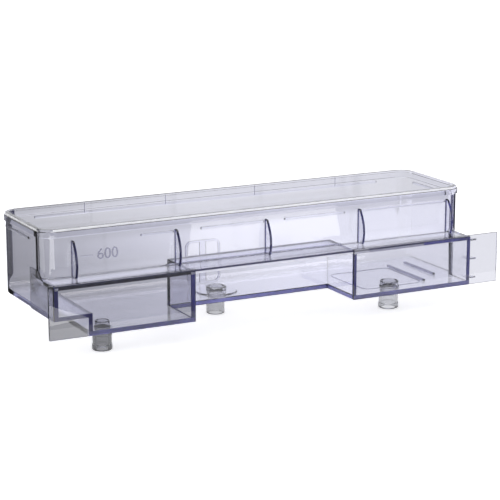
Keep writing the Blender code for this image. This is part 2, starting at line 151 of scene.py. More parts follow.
class TankColours(bpy.types.PropertyGroup):
    """What each plastic and each marked face passes, as sRGB hex values."""

    body: hex_colour("Moulding", "What one surface of the moulding passes", "FAFAFC")
    body_flow: hex_colour("Moulding flow", "Slightly denser streaks in the moulding", "F3F3F8")
    body_depth: hex_colour("Moulding depth", "Colour left after a long way through the moulding", "7070C4")
    # Painted shade and painted light on the shell's ends: the black, navy, recess and line tints are
    # painted shade, and the blue and pale tints are painted light, for light that runs along a wall to its
    # end. All are matt.
    black_end_painted_shade: hex_colour("Black end", "Shelf end over the left box, looking along the shelf", "12121C")
    navy_end_painted_shade: hex_colour("Navy end", "Upright wall ends, looking along the wall", "4A4AA6")
    blue_floor_end_painted_light: hex_colour("Blue end", "Floor ends, which the floor lights from below", "9494F0")
    recess_edge_painted_shade: hex_colour("Recess end", "Floor edge along the recess", "7C7CC4")
    pale_end_painted_light: hex_colour("Pale end", "Shelf end over the right box and the recess", "EEEEF4")
    end_line_painted_shade: hex_colour("End line", "Top edge of that shelf end, where the shelf bends", "2A2A4A")
    # A greyer tint on the floor's top faces than on the walls.
    floor_inside: hex_colour(
        "Floor inside", "The tank's own floor, a little denser than its walls", "ECECF2",
    )
    collar: hex_colour("Collar", "The band round the mouth, thicker than the walls", "E8E8F0")
    # Painted highlight: a matt bright edge along the lip.
    lip_edge_painted_highlight: hex_colour("Lip edge", "The lip's bright outer edge", "FFFFFF")
    # Painted shade on a fin's front edge.
    fin_edge_painted_shade: hex_colour("Fin edge", "A fin's front edge", "50506E")
    # Painted shade: a grey on raised marks, standing in for the dark outlines that light draws round them.
    raised: hex_colour("Raised mark", "Raised lines and numbers, which scatter a little light", "BCBCCC")
    # Painted shade: a grey over the whole raised number, standing in for how light shades it.
    numeral: hex_colour("Numeral", "The raised number, a little greyer than the wall", "D4D4DE")
    # Painted shade along a fin's root.
    fin_root_painted_shade: hex_colour("Fin root", "Where a fin grows out of the wall", "3C3C64")
    # Painted shade: a dark tint on bends and ends seen along their length, where light runs along the
    # wall.
    bend: hex_colour("Bend", "Tight bends and ends, where a wall is seen along its length", "24243A")
    sheet: hex_colour("Sheet", "What one surface of the flat sheets passes", "E2E2E6")
    sheet_depth: hex_colour("Sheet depth", "Colour left after a long way through the sheet", "9A9AC8")
    tube: hex_colour("Tube", "What one surface of the tubes passes", "FAFAFC")
    tube_depth: hex_colour("Tube depth", "Colour left after a long way through a tube", "6A6E78")
    floor: hex_colour("Floor", "The pale floor under the tank", "FFFFFF")


class TankStage(bpy.types.PropertyGroup):
    """Camera and light."""

    azimuth: bpy.props.FloatProperty(
        name="Azimuth", description="Camera's turn round the tank, 0 in front", default=-27.54,
    )
    elevation: bpy.props.FloatProperty(
        name="Elevation", description="Camera's angle above the horizon", default=13.22,
    )
    distance: bpy.props.FloatProperty(
        name="Distance", description="From the camera to the point it looks at",
        default=1.0469, subtype="DISTANCE", unit="LENGTH",
    )
    lens: bpy.props.FloatProperty(
        name="Lens", description="Focal length in millimetres", default=133.75,
    )
    aim: bpy.props.FloatVectorProperty(
        name="Aim", description="The point the camera looks at, in the tank's frame",
        default=(-0.0086, -0.0125, 0.03995), size=3, subtype="TRANSLATION", unit="LENGTH",
    )
    sky: bpy.props.FloatProperty(
        name="Room light", description="Strength of the dim room round the tank", default=0.35,
    )
    horizon: bpy.props.FloatProperty(
        name="Horizon light", description="Strength of the bright sweep low down", default=1.2,
    )
    table_left: bpy.props.FloatProperty(
        name="Table light left", description="Light that passes up through the tank at its left",
        default=0.44,
    )
    table_right: bpy.props.FloatProperty(
        name="Table light right", description="Light that passes up through the tank at its right",
        default=1.14,
    )
    table_back_left: bpy.props.FloatProperty(
        name="Table light back left", description="The same, behind the tank at its left", default=0.5,
    )
    table_back_right: bpy.props.FloatProperty(
        name="Table light back right", description="The same, behind the tank at its right", default=0.83,
    )
    floor_glow: bpy.props.FloatProperty(
        name="Floor glow", description="Share of the floor's light that comes from under it", default=0.62,
    )


# ---------------------------------------------------------------- modelling by hand


def sizes():
    return bpy.context.scene.tank_sizes


def colours():
    return bpy.context.scene.tank_colours


def settings():
    return bpy.context.scene.tank_stage


def deselect():
    if bpy.context.object and bpy.context.object.mode != "OBJECT":
        bpy.ops.object.mode_set(mode="OBJECT")
    bpy.ops.object.select_all(action="DESELECT")


def activate(obj):
    deselect()
    obj.select_set(True)
    bpy.context.view_layer.objects.active = obj
    return obj


def block(name, low, high):
    """A cube stretched between two corners, with its place in its mesh."""
    deselect()
    size = [b - a for a, b in zip(low, high)]
    centre = [(a + b) / 2 for a, b in zip(low, high)]
    bpy.ops.mesh.primitive_cube_add(size=1.0, location=centre, scale=size)
    obj = bpy.context.object
    obj.name = name
    bpy.ops.object.transform_apply(location=True, rotation=True, scale=True)
    return obj


def pick_edges(obj, test):
    """Enters edit mode with just those edges selected whose two ends pass the test."""
    activate(obj)
    bpy.ops.object.mode_set(mode="EDIT")
    bpy.ops.mesh.select_mode(type="EDGE")
    bpy.ops.mesh.select_all(action="DESELECT")
    bpy.ops.object.mode_set(mode="OBJECT")
    points = obj.data.vertices
    for edge in obj.data.edges:
        a, b = points[edge.vertices[0]].co, points[edge.vertices[1]].co
        edge.select = bool(test(a, b))
    bpy.ops.object.mode_set(mode="EDIT")


def round_edges(obj, test, radius, segments):
    pick_edges(obj, test)
    bpy.ops.mesh.bevel(offset=radius, segments=segments, profile=0.5, affect="EDGES", clamp_overlap=False)
    bpy.ops.object.mode_set(mode="OBJECT")
    return obj


def upright(a, b):
    return abs(a.x - b.x) < 1e-6 and abs(a.y - b.y) < 1e-6 and abs(a.z - b.z) > 1e-5


def cylinder(name, centre, radius, low, high, vertices=64):
    deselect()
    place = (centre[0], centre[1], (low + high) / 2)
    bpy.ops.mesh.primitive_cylinder_add(vertices=vertices, radius=radius, depth=high - low, location=place)
    obj = bpy.context.object
    obj.name = name
    bpy.ops.object.transform_apply(location=True, rotation=True, scale=True)
    return obj


def combine(target, tool, operation):
    """Joins, cuts or intersects target with tool, which is used up."""
    activate(target)
    modifier = target.modifiers.new(operation.lower(), "BOOLEAN")
    modifier.operation = operation
    modifier.solver = "EXACT"
    modifier.object = tool
    bpy.ops.object.modifier_apply(modifier=modifier.name)
    bpy.data.objects.remove(tool, do_unlink=True)
    return target


def clean(obj, angle=0.2):
    """Welds what a cut leaves double and clears the edges that it leaves on flat faces."""
    activate(obj)
    bpy.ops.object.mode_set(mode="EDIT")
    bpy.ops.mesh.select_all(action="SELECT")
    bpy.ops.mesh.remove_doubles(threshold=0.002 * MM)
    bpy.ops.mesh.dissolve_limited(angle_limit=math.radians(angle))
    bpy.ops.object.mode_set(mode="OBJECT")
    return obj


def soften(obj, width, segments=2, angle=35.0):
    """Rounds every sharp edge a little and keeps the flat faces flat."""
    activate(obj)
    if width > 0:
        rounding = obj.modifiers.new("edge rounding", "BEVEL")
        rounding.width = width
        rounding.segments = segments
        rounding.limit_method = "ANGLE"
        rounding.angle_limit = math.radians(angle)
        rounding.use_clamp_overlap = False
        bpy.ops.object.modifier_apply(modifier=rounding.name)
    return flatten_faces(obj, angle)


def flatten_faces(obj, angle=35.0):
    """Smooth shading across small angles, with the large faces kept flat."""
    activate(obj)
    bpy.ops.object.shade_smooth_by_angle(angle=math.radians(angle))
    normals = obj.modifiers.new("flat faces", "WEIGHTED_NORMAL")
    normals.keep_sharp = True
    bpy.ops.object.modifier_apply(modifier=normals.name)
    return obj


def keep(obj, material, nodes=()):
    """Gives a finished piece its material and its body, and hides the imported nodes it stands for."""
    obj.data.materials.clear()
    obj.data.materials.append(material)
    tint_faces(obj, lambda face: None)
    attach(obj, BODY)
    if nodes:
        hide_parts(*nodes)
    return obj


def turned(name, centre, profile, vertices=64):
    """A round body from a closed profile of (radius, height) pairs, ring by ring."""
    deselect()
    radius, height = profile[0]
    bpy.ops.mesh.primitive_circle_add(
        vertices=vertices, radius=radius, fill_type="NOTHING", location=(centre[0], centre[1], height)
    )
    obj = bpy.context.object
    obj.name = name
    bpy.ops.object.mode_set(mode="EDIT")
    bpy.ops.mesh.select_mode(type="EDGE")
    bpy.ops.mesh.select_all(action="SELECT")
    for (r0, z0), (r1, z1) in zip(profile, profile[1:]):
        bpy.ops.mesh.extrude_region_move(TRANSFORM_OT_translate={"value": (0.0, 0.0, z1 - z0)})
        bpy.ops.transform.resize(
            value=(r1 / r0, r1 / r0, 1.0), center_override=(centre[0], centre[1], z1)
        )
    bpy.ops.object.mode_set(mode="OBJECT")
    bpy.ops.object.transform_apply(location=True, rotation=True, scale=True)

    def on_end_ring(a, b):
        level = any(abs(a.z - z) < 1e-7 and abs(b.z - z) < 1e-7 for z in (profile[0][1], profile[-1][1]))
        reach = [math.hypot(p.x - centre[0], p.y - centre[1]) for p in (a, b)]
        ends = (profile[0][0], profile[-1][0])
        return level and any(all(abs(r - end) < 1e-6 for r in reach) for end in ends)

    pick_edges(obj, on_end_ring)
    bpy.ops.mesh.bridge_edge_loops()
    bpy.ops.mesh.select_all(action="SELECT")
    bpy.ops.mesh.normals_make_consistent(inside=False)
    bpy.ops.object.mode_set(mode="OBJECT")
    return obj


# ---------------------------------------------------------------- materials

# Face attributes: face_tint holds painted shade and painted light on ends, bends, fins, the lip and raised
# marks, and a greyer tint on floor and collar; end_face says how matt a painted face is.
END_FACE = "end_face"
FACE_TINT = "face_tint"
END_ROUGHNESS = 0.3
END_MATT = 0.9
HANDLING_MM = 3.5
STREAK_STRETCH = (0.35, 1.0, 1.6)
RIPPLE_HEIGHT = 0.4 * MM


def linear(code):
    """An sRGB hex value as linear RGBA."""
    channels = [int(code[i:i + 2], 16) / 255 for i in (0, 2, 4)]
    return (*[c / 12.92 if c <= 0.04045 else ((c + 0.055) / 1.055) ** 2.4 for c in channels], 1.0)


def add_node(tree, kind, values=None, links=None, **properties):
    """One node with its properties, its socket values and its incoming links."""
    node = tree.nodes.new(kind)
    for name, value in properties.items():
        setattr(node, name, value)
    for name, value in (values or {}).items():
        node.inputs[name].default_value = value
    for name, socket in (links or {}).items():
        tree.links.new(socket, node.inputs[name])
    return node


def clear_plastic(name, passed, streaked, depth_colour, density, roughness, ior, flow_mm, ripple):
    """Clear plastic: it bends light, takes up colour along the way and has faint flow ripples.

    Marked faces take their own tint, mostly painted shade and painted light, and marked ends are partly
    matt, with a fine speckle.
    """
    found = bpy.data.materials.get(name)
    if found:
        return found
    material = bpy.data.materials.new(name)
    material.use_nodes = True
    tree = material.node_tree
    tree.nodes.clear()
    place = add_node(tree, "ShaderNodeTexCoord").outputs["Object"]
    stretch = add_node(
        tree, "ShaderNodeMapping", {"Scale": STREAK_STRETCH}, {"Vector": place}
    ).outputs["Vector"]
    flow = add_node(
        tree, "ShaderNodeTexNoise", {"Scale": 1000.0 / flow_mm, "Detail": 2.0, "Roughness": 0.45},
        {"Vector": stretch},
    ).outputs["Fac"]
    handling = add_node(
        tree, "ShaderNodeTexNoise", {"Scale": 1000.0 / HANDLING_MM, "Detail": 4.0, "Roughness": 0.6},
        {"Vector": place},
    ).outputs["Fac"]
    tint = add_node(
        tree, "ShaderNodeMix", {"A": passed, "B": streaked}, {"Factor": flow}, data_type="RGBA"
    )
    gloss = add_node(
        tree, "ShaderNodeMapRange",
        {"From Min": 0.35, "From Max": 0.75, "To Min": roughness, "To Max": roughness * 2.2},
        {"Value": handling},
    ).outputs["Result"]
    end_face = add_node(tree, "ShaderNodeAttribute", attribute_name=END_FACE).outputs["Fac"]
    marked = add_node(tree, "ShaderNodeAttribute", attribute_name=FACE_TINT).outputs
    tint = add_node(
        tree, "ShaderNodeMix",
        links={"Factor": marked["Alpha"], "A": tint.outputs["Result"], "B": marked["Color"]},
        data_type="RGBA",
    )
    gloss = add_node(
        tree, "ShaderNodeMix", {"B": END_ROUGHNESS}, {"Factor": end_face, "A": gloss}
    ).outputs["Result"]
    speckle = add_node(
        tree, "ShaderNodeMath", links={0: end_face, 1: handling}, operation="MULTIPLY"
    ).outputs["Value"]
    clear = add_node(
        tree, "ShaderNodeMapRange", {"From Max": 0.7, "To Min": 1.0, "To Max": 1.0 - END_MATT},
        {"Value": speckle},
    ).outputs["Result"]
    ripples = add_node(
        tree, "ShaderNodeBump", {"Strength": ripple, "Distance": RIPPLE_HEIGHT}, {"Height": flow}
    ).outputs["Normal"]
    shader = add_node(
        tree, "ShaderNodeBsdfPrincipled", {"IOR": ior},
        {
            "Base Color": tint.outputs["Result"], "Roughness": gloss, "Normal": ripples,
            "Transmission Weight": clear,
        },
    )
    inside = add_node(tree, "ShaderNodeVolumeAbsorption", {"Color": depth_colour, "Density": density})
    add_node(
        tree, "ShaderNodeOutputMaterial",
        links={"Surface": shader.outputs["BSDF"], "Volume": inside.outputs["Volume"]},
    )
    return material


def polycarbonate():
    """Moulded clear polycarbonate: high index, so bright reflections, and navy along its edges, from its
    depth colour and from painted shade on marked ends.
    """
    hexes = colours()
    return clear_plastic(
        "moulded clear polycarbonate", linear(hexes.body), linear(hexes.body_flow),
        linear(hexes.body_depth), density=30.0, roughness=0.012, ior=1.58, flow_mm=22.0, ripple=0.03,
    )


def acrylic_sheet():
    """Flat cast acrylic sheet: clearer and greyer than the moulding, with flat faces."""
    hexes = colours()
    return clear_plastic(
        "clear acrylic sheet", linear(hexes.sheet), linear(hexes.sheet),
        linear(hexes.sheet_depth), density=40.0, roughness=0.01, ior=1.49, flow_mm=40.0, ripple=0.02,
    )


def grey_tube_plastic():
    """Moulded clear grey tube: fine turned bands and a denser cast than the walls."""
    hexes = colours()
    return clear_plastic(
        "moulded grey styrene", linear(hexes.tube), linear(hexes.tube),
        linear(hexes.tube_depth), density=230.0, roughness=0.02, ior=1.58, flow_mm=6.0, ripple=0.06,
    )


# ---------------------------------------------------------------- the moulded shell


def side_cut(name, low, high, radius):
    """A long block with a round rear lower edge, wider than the tank at both ends."""
    form = block(name, low, high)

    def rear_lower(a, b):
        return all(abs(p.y - high[1]) < 1e-6 and abs(p.z - low[2]) < 1e-6 for p in (a, b))

    return round_edges(form, rear_lower, radius, 12)


def upright_block(name, low, high, radius):
    """A block with round upright edges."""
    return round_edges(block(name, low, high), upright, radius, 12)


def tank_volume(inset, top, front):
    """The tank's outer form, or with an inset of one wall the space inside it."""
    size = sizes()
    x0, x1 = WALL_LOW.x + inset, WALL_HIGH.x - inset
    y0, y1 = WALL_LOW.y + inset, WALL_HIGH.y - inset
    z0 = FLOOR_LEVEL + inset
    margin = 10 * MM
    ledge = LEDGE_LOW.z + inset
    step = WALL_LOW.x + size.step_length + inset
    plan = upright_block("plan", (x0, y0, z0), (x1, y1, top), size.corner_radius - inset)
    shelf_under = SHELF_HIGH.z if inset == 0 else SHELF_LOW.z
    boxes_right = BOX_RIGHT - inset
    boxes_rear = y0 + size.corner_radius + margin / 2
    boxes = block("boxes", (x0, front, z0), (boxes_right, boxes_rear, shelf_under))
    combine(plan, boxes, "UNION")
    profile_low = (x0 - margin, front - margin, z0)
    profile_high = (x1 + margin, y1, top + margin)
    profile = side_cut("profile", profile_low, profile_high, size.rear_edge_radius - inset)
    combine(plan, profile, "INTERSECT")
    below_low = (x0 - margin, front - margin, z0 - margin)
    step_block = block("step", below_low, (step, y1 + margin, ledge))
    combine(plan, step_block, "DIFFERENCE")
    rear = WALL_HIGH.y - inset
    ledge_form = side_cut(
        "ledge_form", (x0 - margin, front - 2 * margin, ledge), (step + margin / 2, rear, top + margin),
        size.rear_edge_radius - inset,
    )
    end_low = (x0 - margin / 2, front - margin, z0 - margin)
    left_end = block("left_end", end_low, (step, y1 + margin, top + margin / 2))
    combine(left_end, ledge_form, "DIFFERENCE")
    return combine(plan, left_end, "DIFFERENCE")


class TANK_OT_moulded_shell(bpy.types.Operator):
    """Models floor, ends, back, boxes, shelf, basin wall and rim as one continuous shell"""

    bl_idname = "tank.moulded_shell"
    bl_label = "Moulded Shell"

    def execute(self, context):
        size = sizes()
        margin = 10 * MM
        wall = size.wall
        shell = tank_volume(0.0, RIM_LOW.z + 1 * MM, TRAY_LOW.y)
        recess_low = (LEFT_PLATE_HIGH.x, TRAY_LOW.y - margin, FLOOR_LEVEL - margin)
        recess_high = (RIGHT_PLATE_LOW.x, TRAY_LOW.y + size.recess_depth, SHELF_LOW.z)
        combine(shell, block("recess", recess_low, recess_high), "DIFFERENCE")
        ledge_top = RIM_HIGH.z - size.lip_height
        overhang = WALL_LOW.x - RIM_LOW.x
        collar = upright_block(
            "collar", (RIM_LOW.x, RIM_LOW.y, RIM_LOW.z), (RIM_HIGH.x, RIM_HIGH.y, ledge_top),
            size.corner_radius + overhang,
        )
        inset = size.lip_inset
        lip = upright_block(
            "lip", (RIM_LOW.x + inset, RIM_LOW.y + inset, ledge_top - 1 * MM),
            (RIM_HIGH.x - inset, RIM_HIGH.y - inset, RIM_HIGH.z), size.corner_radius + overhang - inset,
        )
        combine(collar, lip, "UNION")
        combine(shell, collar, "UNION")
        space = tank_volume(wall, RIM_HIGH.z + margin, TRAY_LOW.y - margin)
        lining_low = (LEFT_PLATE_HIGH.x - wall, TRAY_LOW.y - 2 * margin, FLOOR_LEVEL - margin)
        lining_rear = TRAY_LOW.y + size.recess_depth + wall
        lining_high = (RIGHT_PLATE_LOW.x + wall, lining_rear, SHELF_LOW.z + margin)
        combine(space, block("lining", lining_low, lining_high), "DIFFERENCE")
        over_low = (LEFT_PLATE_HIGH.x - 2 * wall, WALL_LOW.y + wall, SHELF_HIGH.z)
        over_rear = WALL_LOW.y + wall + 3 * margin
        over_high = (RIGHT_PLATE_LOW.x + 2 * wall, over_rear, RIM_HIGH.z + margin)
        combine(space, block("over", over_low, over_high), "UNION")
        combine(shell, space, "DIFFERENCE")
        middle_low, middle_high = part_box("middle_outlet_tube")
        middle = (middle_low + middle_high) / 2
        seat_top = FLOOR_LEVEL + wall + size.seat_height
        seat = cylinder("seat", middle, size.seat_radius, FLOOR_LEVEL + wall / 2, seat_top, 72)
        combine(shell, seat, "UNION")
        for name in ("left_outlet_tube", "middle_outlet_tube", "right_outlet_tube"):
            low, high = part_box(name)
            centre = (low + high) / 2
            radius = hole_radius(name)
            hole = cylinder("hole", centre, radius, low.z, FLOOR_LEVEL + wall + 5 * MM, 64)
            combine(shell, hole, "DIFFERENCE")
        clean(shell)
        shell.name = "moulded_shell"

        def foot(a, b):
            """The edge where the basin's outer face meets the shelf."""
            ends = (a, b)
            level = all(abs(p.z - SHELF_LEVEL) < 1e-5 for p in ends)
            outside = all(p.y > WALL_LOW.y - 1e-5 or p.x < WALL_LOW.x for p in ends)
            inner_x, inner_y = WALL_LOW.x + wall - 1e-5, WALL_LOW.y + wall - 1e-5
            inside = all(p.y > inner_y and p.x > inner_x for p in ends)
            near = (a.y + b.y) / 2 < WALL_LOW.y + size.corner_radius
            on_outline = all(corner_distance(p) < 1e-4 for p in ends)
            return level and outside and near and not inside and on_outline

        round_edges(shell, foot, size.foot_fillet, 5)
        soften(shell, size.edge_round, 2, 40.0)
        mark_end_faces(shell)
        nodes = ("lower_tray", "shoulder_shelf", "basin_wall", "rim_collar")
        keep(shell, polycarbonate(), nodes)
        return {"FINISHED"}


def tint_faces(obj, choose, rough=0.0):
    """Marks each face that choose gives a colour for; rough, 0 to 1, also leaves it matt."""
    attributes = obj.data.attributes
    for name, kind in ((FACE_TINT, "FLOAT_COLOR"), (END_FACE, "FLOAT")):
        if name not in attributes:
            marks = attributes.new(name, kind, "FACE").data
            field, width = ("color", 4) if kind == "FLOAT_COLOR" else ("value", 1)
            marks.foreach_set(field, [0.0] * width * len(marks))
    tints, ends = attributes[FACE_TINT].data, attributes[END_FACE].data
    for index, face in enumerate(obj.data.polygons):
        colour = choose(face)
        if colour:
            tints[index].color = linear(colour)
            ends[index].value = rough


def is_front_end(face):
    return face.normal.y < -0.99 and abs(face.center.y - TRAY_LOW.y) < 0.1 * MM


def is_right_corner(face):
    """The round upright corner at the front right of the basin, outside and below the collar."""
    x, y, z = face.center
    in_corner = x > WALL_HIGH.x - sizes().corner_radius and y < WALL_LOW.y + sizes().corner_radius
    facing = abs(face.normal.z) < 0.1 and face.normal.x > 0.0 and -0.85 < face.normal.y < -0.02
    return in_corner and facing and z < RIM_LOW.z


def is_recess_side(face):
    """The three upright outer faces round the space between the boxes."""
    x, y = face.center.x, face.center.y
    back = face.normal.y < -0.99 and abs(y - TRAY_LOW.y - sizes().recess_depth) < 0.1 * MM
    sides = abs(face.normal.x) > 0.99 and any(
        abs(x - side) < 0.1 * MM for side in (LEFT_PLATE_HIGH.x, RIGHT_PLATE_LOW.x)
    )
    return (back or sides) and face.center.z < SHELF_LOW.z


def split(obj, axis, level, choose=lambda face: True):
    """Cuts chosen faces in two at a level along an axis, so that each part can have its own tint."""
    activate(obj)
    bpy.ops.object.mode_set(mode="EDIT")
    bpy.ops.mesh.select_mode(type="FACE")
    bpy.ops.mesh.select_all(action="DESELECT")
    bpy.ops.object.mode_set(mode="OBJECT")
    for face in obj.data.polygons:
        face.select = choose(face)
    bpy.ops.object.mode_set(mode="EDIT")
    place = [0.0, 0.0, 0.0]
    place[axis] = level
    direction = [float(index == axis) for index in range(3)]
    bpy.ops.mesh.bisect(plane_co=place, plane_no=direction)
    bpy.ops.object.mode_set(mode="OBJECT")


def mark_end_faces(shell):
    """Paints shade on the shell's ends and bends, painted light on the lip, some ends and the corner jog,
    and greyer tints on collar and floor, cut where one tint meets another.
    """
    hexes = colours()
    wall = sizes().wall
    radius = sizes().corner_radius
    floor_top, step_end = FLOOR_LEVEL + wall, WALL_LOW.x + sizes().step_length
    navy_from = BOX_RIGHT - 14 * wall
    line_level = SHELF_HIGH.z - 1.0 * MM
    x_axis, z_axis = 0, 2
    for level in (SHELF_LOW.z, floor_top, LEDGE_LOW.z + wall, LEDGE_LOW.z):
        split(shell, z_axis, level, is_front_end)
    for level in (
        LEFT_PLATE_HIGH.x, RIGHT_PLATE_LOW.x, navy_from, LEFT_PLATE_HIGH.x - wall,
        RIGHT_PLATE_LOW.x + wall, BOX_RIGHT - wall, WALL_LOW.x + wall, step_end, step_end + wall,
    ):
        split(shell, x_axis, level, is_front_end)
    split(shell, z_axis, line_level, is_front_end)
    split(shell, z_axis, floor_top, is_recess_side)
    split(shell, z_axis, SHELF_LEVEL, is_right_corner)
    flatten_faces(shell, 40.0)

    def front_end(face):
        """Painted shade and painted light, matt, on the front ends of walls, shelf and floor, and on the
        floor's edge round the recess.
        """
        if is_recess_side(face) and face.center.z < floor_top:
            return hexes.recess_edge_painted_shade
        if face.normal.y > -0.3 or abs(face.center.y - TRAY_LOW.y) > 0.3 * MM:
            return None
        x, z = face.center.x, face.center.z
        if z > SHELF_LOW.z:
            if x < LEFT_PLATE_HIGH.x - wall and x > WALL_LOW.x + wall:
                return hexes.black_end_painted_shade
            if x > navy_from:
                return hexes.navy_end_painted_shade
            return hexes.end_line_painted_shade if z > line_level else hexes.pale_end_painted_light
        return hexes.blue_floor_end_painted_light if z < floor_top else hexes.navy_end_painted_shade

    def jog_painted_light(face):
        """Painted light: a pale, partly matt patch in the collar's tint where the right box meets the
        basin's round corner, below the shelf.
        """
        return hexes.collar if is_right_corner(face) and face.center.z < SHELF_LEVEL else None

    def bend(face):
        """Painted shade on bends seen along their length: two upright corners and the collar's left side.
        """
        x, y, z = face.center
        level = abs(face.normal.z) < 0.1
        if is_right_corner(face) and z > SHELF_LEVEL and face.normal.y < -0.3:
            return hexes.bend
        in_rear_left = y > WALL_HIGH.y - radius and x < WALL_LOW.x + radius
        if level and in_rear_left and z < RIM_LOW.z and 0.3 < abs(face.normal.y) < 0.95:
            return hexes.bend
        on_lip = z > RIM_HIGH.z - 2 * sizes().edge_round
        if on_lip and x < WALL_LOW.x + wall + 1 * MM and face.normal.x > 0.3:
            return hexes.bend
        under_collar = face.normal.z < -0.9 and abs(z - RIM_LOW.z) < 1e-5
        return hexes.bend if under_collar and x < WALL_LOW.x else None

    def greyer_floor_and_collar(face):
        """A greyer tint on the floor's top faces and on the collar's outer faces."""
        x, y, z = face.center
        if face.normal.z > 0.99 and z < LEDGE_LOW.z + wall + 0.1 * MM:
            return hexes.floor_inside
        collar_top = RIM_HIGH.z - sizes().lip_height
        outside = y < WALL_LOW.y or x < WALL_LOW.x
        return hexes.collar if outside and RIM_LOW.z < z < collar_top else None

    def lip_edge_painted_highlight(face):
        """A painted highlight, matt, on the lip's outer side, in front and at the left."""
        x, y, z = face.center
        outside = y < WALL_LOW.y + 0.3 * MM or x < WALL_LOW.x + 0.3 * MM
        facing_out = face.normal.y < -0.5 or face.normal.x < -0.5
        on_lip = z > RIM_HIGH.z - sizes().lip_height
        return hexes.lip_edge_painted_highlight if outside and facing_out and on_lip else None

    tint_faces(shell, greyer_floor_and_collar)
    tint_faces(shell, jog_painted_light, rough=0.4)
    tint_faces(shell, lip_edge_painted_highlight, rough=1.0)
    tint_faces(shell, front_end, rough=1.0)
    tint_faces(shell, bend)


def corner_distance(point):
    """How far a point lies from the basin's outer outline, seen from above."""
    radius = sizes().corner_radius
    x = min(max(point.x, WALL_LOW.x + radius), WALL_HIGH.x - radius)
    y = max(point.y, WALL_LOW.y + radius)
    if point.x == x:
        return abs(point.y - WALL_LOW.y)
    if point.y > WALL_LOW.y + radius:
        return min(abs(point.x - WALL_LOW.x), abs(point.x - WALL_HIGH.x))
    return abs(math.hypot(point.x - x, point.y - y) - radius)


# ---------------------------------------------------------------- small moulded pieces


# Outer radius above the floor, outer radius below it, and bore
TUBE_RADII = {
    "left_outlet_tube": (4.1 * MM, 5.6 * MM, 3.1 * MM),
    "middle_outlet_tube": (5.9 * MM, 5.3 * MM, 4.0 * MM),
    "right_outlet_tube": (5.4 * MM, 5.9 * MM, 4.1 * MM),
}


def hole_radius(name):
    """Radius of the tube where it passes the floor, plus its running fit."""
    fit = 0.15 * MM
    neck, spout, _ = TUBE_RADII[name]
    return min(neck, spout) + fit


class TANK_OT_outlet_tubes(bpy.types.Operator):
    """Turns the three outlet tubes with their bands, rounded rims and bores"""

    bl_idname = "tank.outlet_tubes"
    bl_label = "Outlet Tubes"

    def execute(self, context):
        size = sizes()
        for name, (neck, spout, bore) in TUBE_RADII.items():
            low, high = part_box(name)
            centre = (low + high) / 2
            floor_top = FLOOR_LEVEL + size.wall
            if name == "middle_outlet_tube":
                floor_top += size.seat_height
            floor_top += size.air_gap
            floor_under = FLOOR_LEVEL - size.air_gap
            lip = min(0.5 * MM, 0.4 * (neck - bore))
            band = 0.35 * MM
            if neck > spout:
                outer = [
                    (spout - lip, low.z), (spout, low.z + lip), (spout, floor_top), (neck, floor_top),
                    (neck, high.z - lip), (neck - lip, high.z),
                ]
            else:
                outer = [
                    (spout - lip, low.z), (spout, low.z + lip), (spout, low.z + 3 * MM),
                    (spout - band, low.z + 3.3 * MM), (spout - band, floor_under - 2.6 * MM),
                    (spout, floor_under - 2.3 * MM), (spout, floor_under), (neck, floor_under),
                    (neck, high.z - lip), (neck - lip, high.z),
                ]
            inner = [(bore + lip, high.z), (bore, high.z - lip), (bore, low.z + lip), (bore + lip, low.z)]
            tube = turned("clear_" + name, centre, outer + inner)
            soften(tube, 0.0, 1, 40.0)
            keep(tube, grey_tube_plastic(), (name,))
        return {"FINISHED"}


def softened_copy(name, node, material, edge, segments=2):
    """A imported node's own shape, welded, with its edges rounded and a film of air round it."""
    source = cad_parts[node]
    deselect()
    mesh = source.data.copy()
    obj = bpy.data.objects.new(name, mesh)
    bpy.context.scene.collection.objects.link(obj)
    activate(obj)
    clean(obj, 1.0)
    activate(obj)
    bpy.ops.object.mode_set(mode="EDIT")
    bpy.ops.mesh.select_all(action="SELECT")
    bpy.ops.transform.shrink_fatten(value=-sizes().air_gap, use_even_offset=True)
    bpy.ops.object.mode_set(mode="OBJECT")
    soften(obj, edge, segments, 35.0)
    return keep(obj, material, (node,))


class TANK_OT_fins(bpy.types.Operator):
    """Models the five fins on the front of the basin"""

    bl_idname = "tank.fins"
    bl_label = "Fins"
    root_strip = 1.1 * MM

    def execute(self, context):
        for index in range(5):
            node = "front_rib_" + str(index + 1)
            name = "moulded_fin_" + str(index + 1)
            fin = softened_copy(name, node, polycarbonate(), 0.3 * MM)
            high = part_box(node)[1]
            split(fin, 1, high.y - self.root_strip)
            flatten_faces(fin)
            tint_faces(fin, lambda face: self.shade(face, high))
        return {"FINISHED"}

    def shade(self, face, high):
        """Painted shade at the rounded top, on the front and back faces and along the root, where the fin
        is seen along its length.
        """
        hexes = colours()
        if face.normal.z > 0.35 and face.center.z > high.z - 1.5 * MM:
            return hexes.bend
        if face.normal.y < -0.5:
            return hexes.fin_edge_painted_shade
        if face.normal.y > 0.5:
            return hexes.navy_end_painted_shade
        return hexes.fin_root_painted_shade if face.center.y > high.y - self.root_strip else None


class TANK_OT_snap_beads(bpy.types.Operator):
    """Models the bars with round ends under the rim"""

    bl_idname = "tank.snap_beads"
    bl_label = "Snap Beads"

    def execute(self, context):
        names = ["front_snap_bead_" + str(index + 1) for index in range(4)]
        for node in names + ["left_snap_bead", "right_snap_bead", "rear_snap_bead"]:
            bead = softened_copy("moulded_" + node, node, polycarbonate(), 0.3 * MM)
            low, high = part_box(node)
            along = 0 if high.x - low.x > high.y - low.y else 1
            # Painted shade on each bead's round ends.
            tint_faces(bead, lambda face: colours().bend if abs(face.normal[along]) > 0.3 else None)
        return {"FINISHED"}


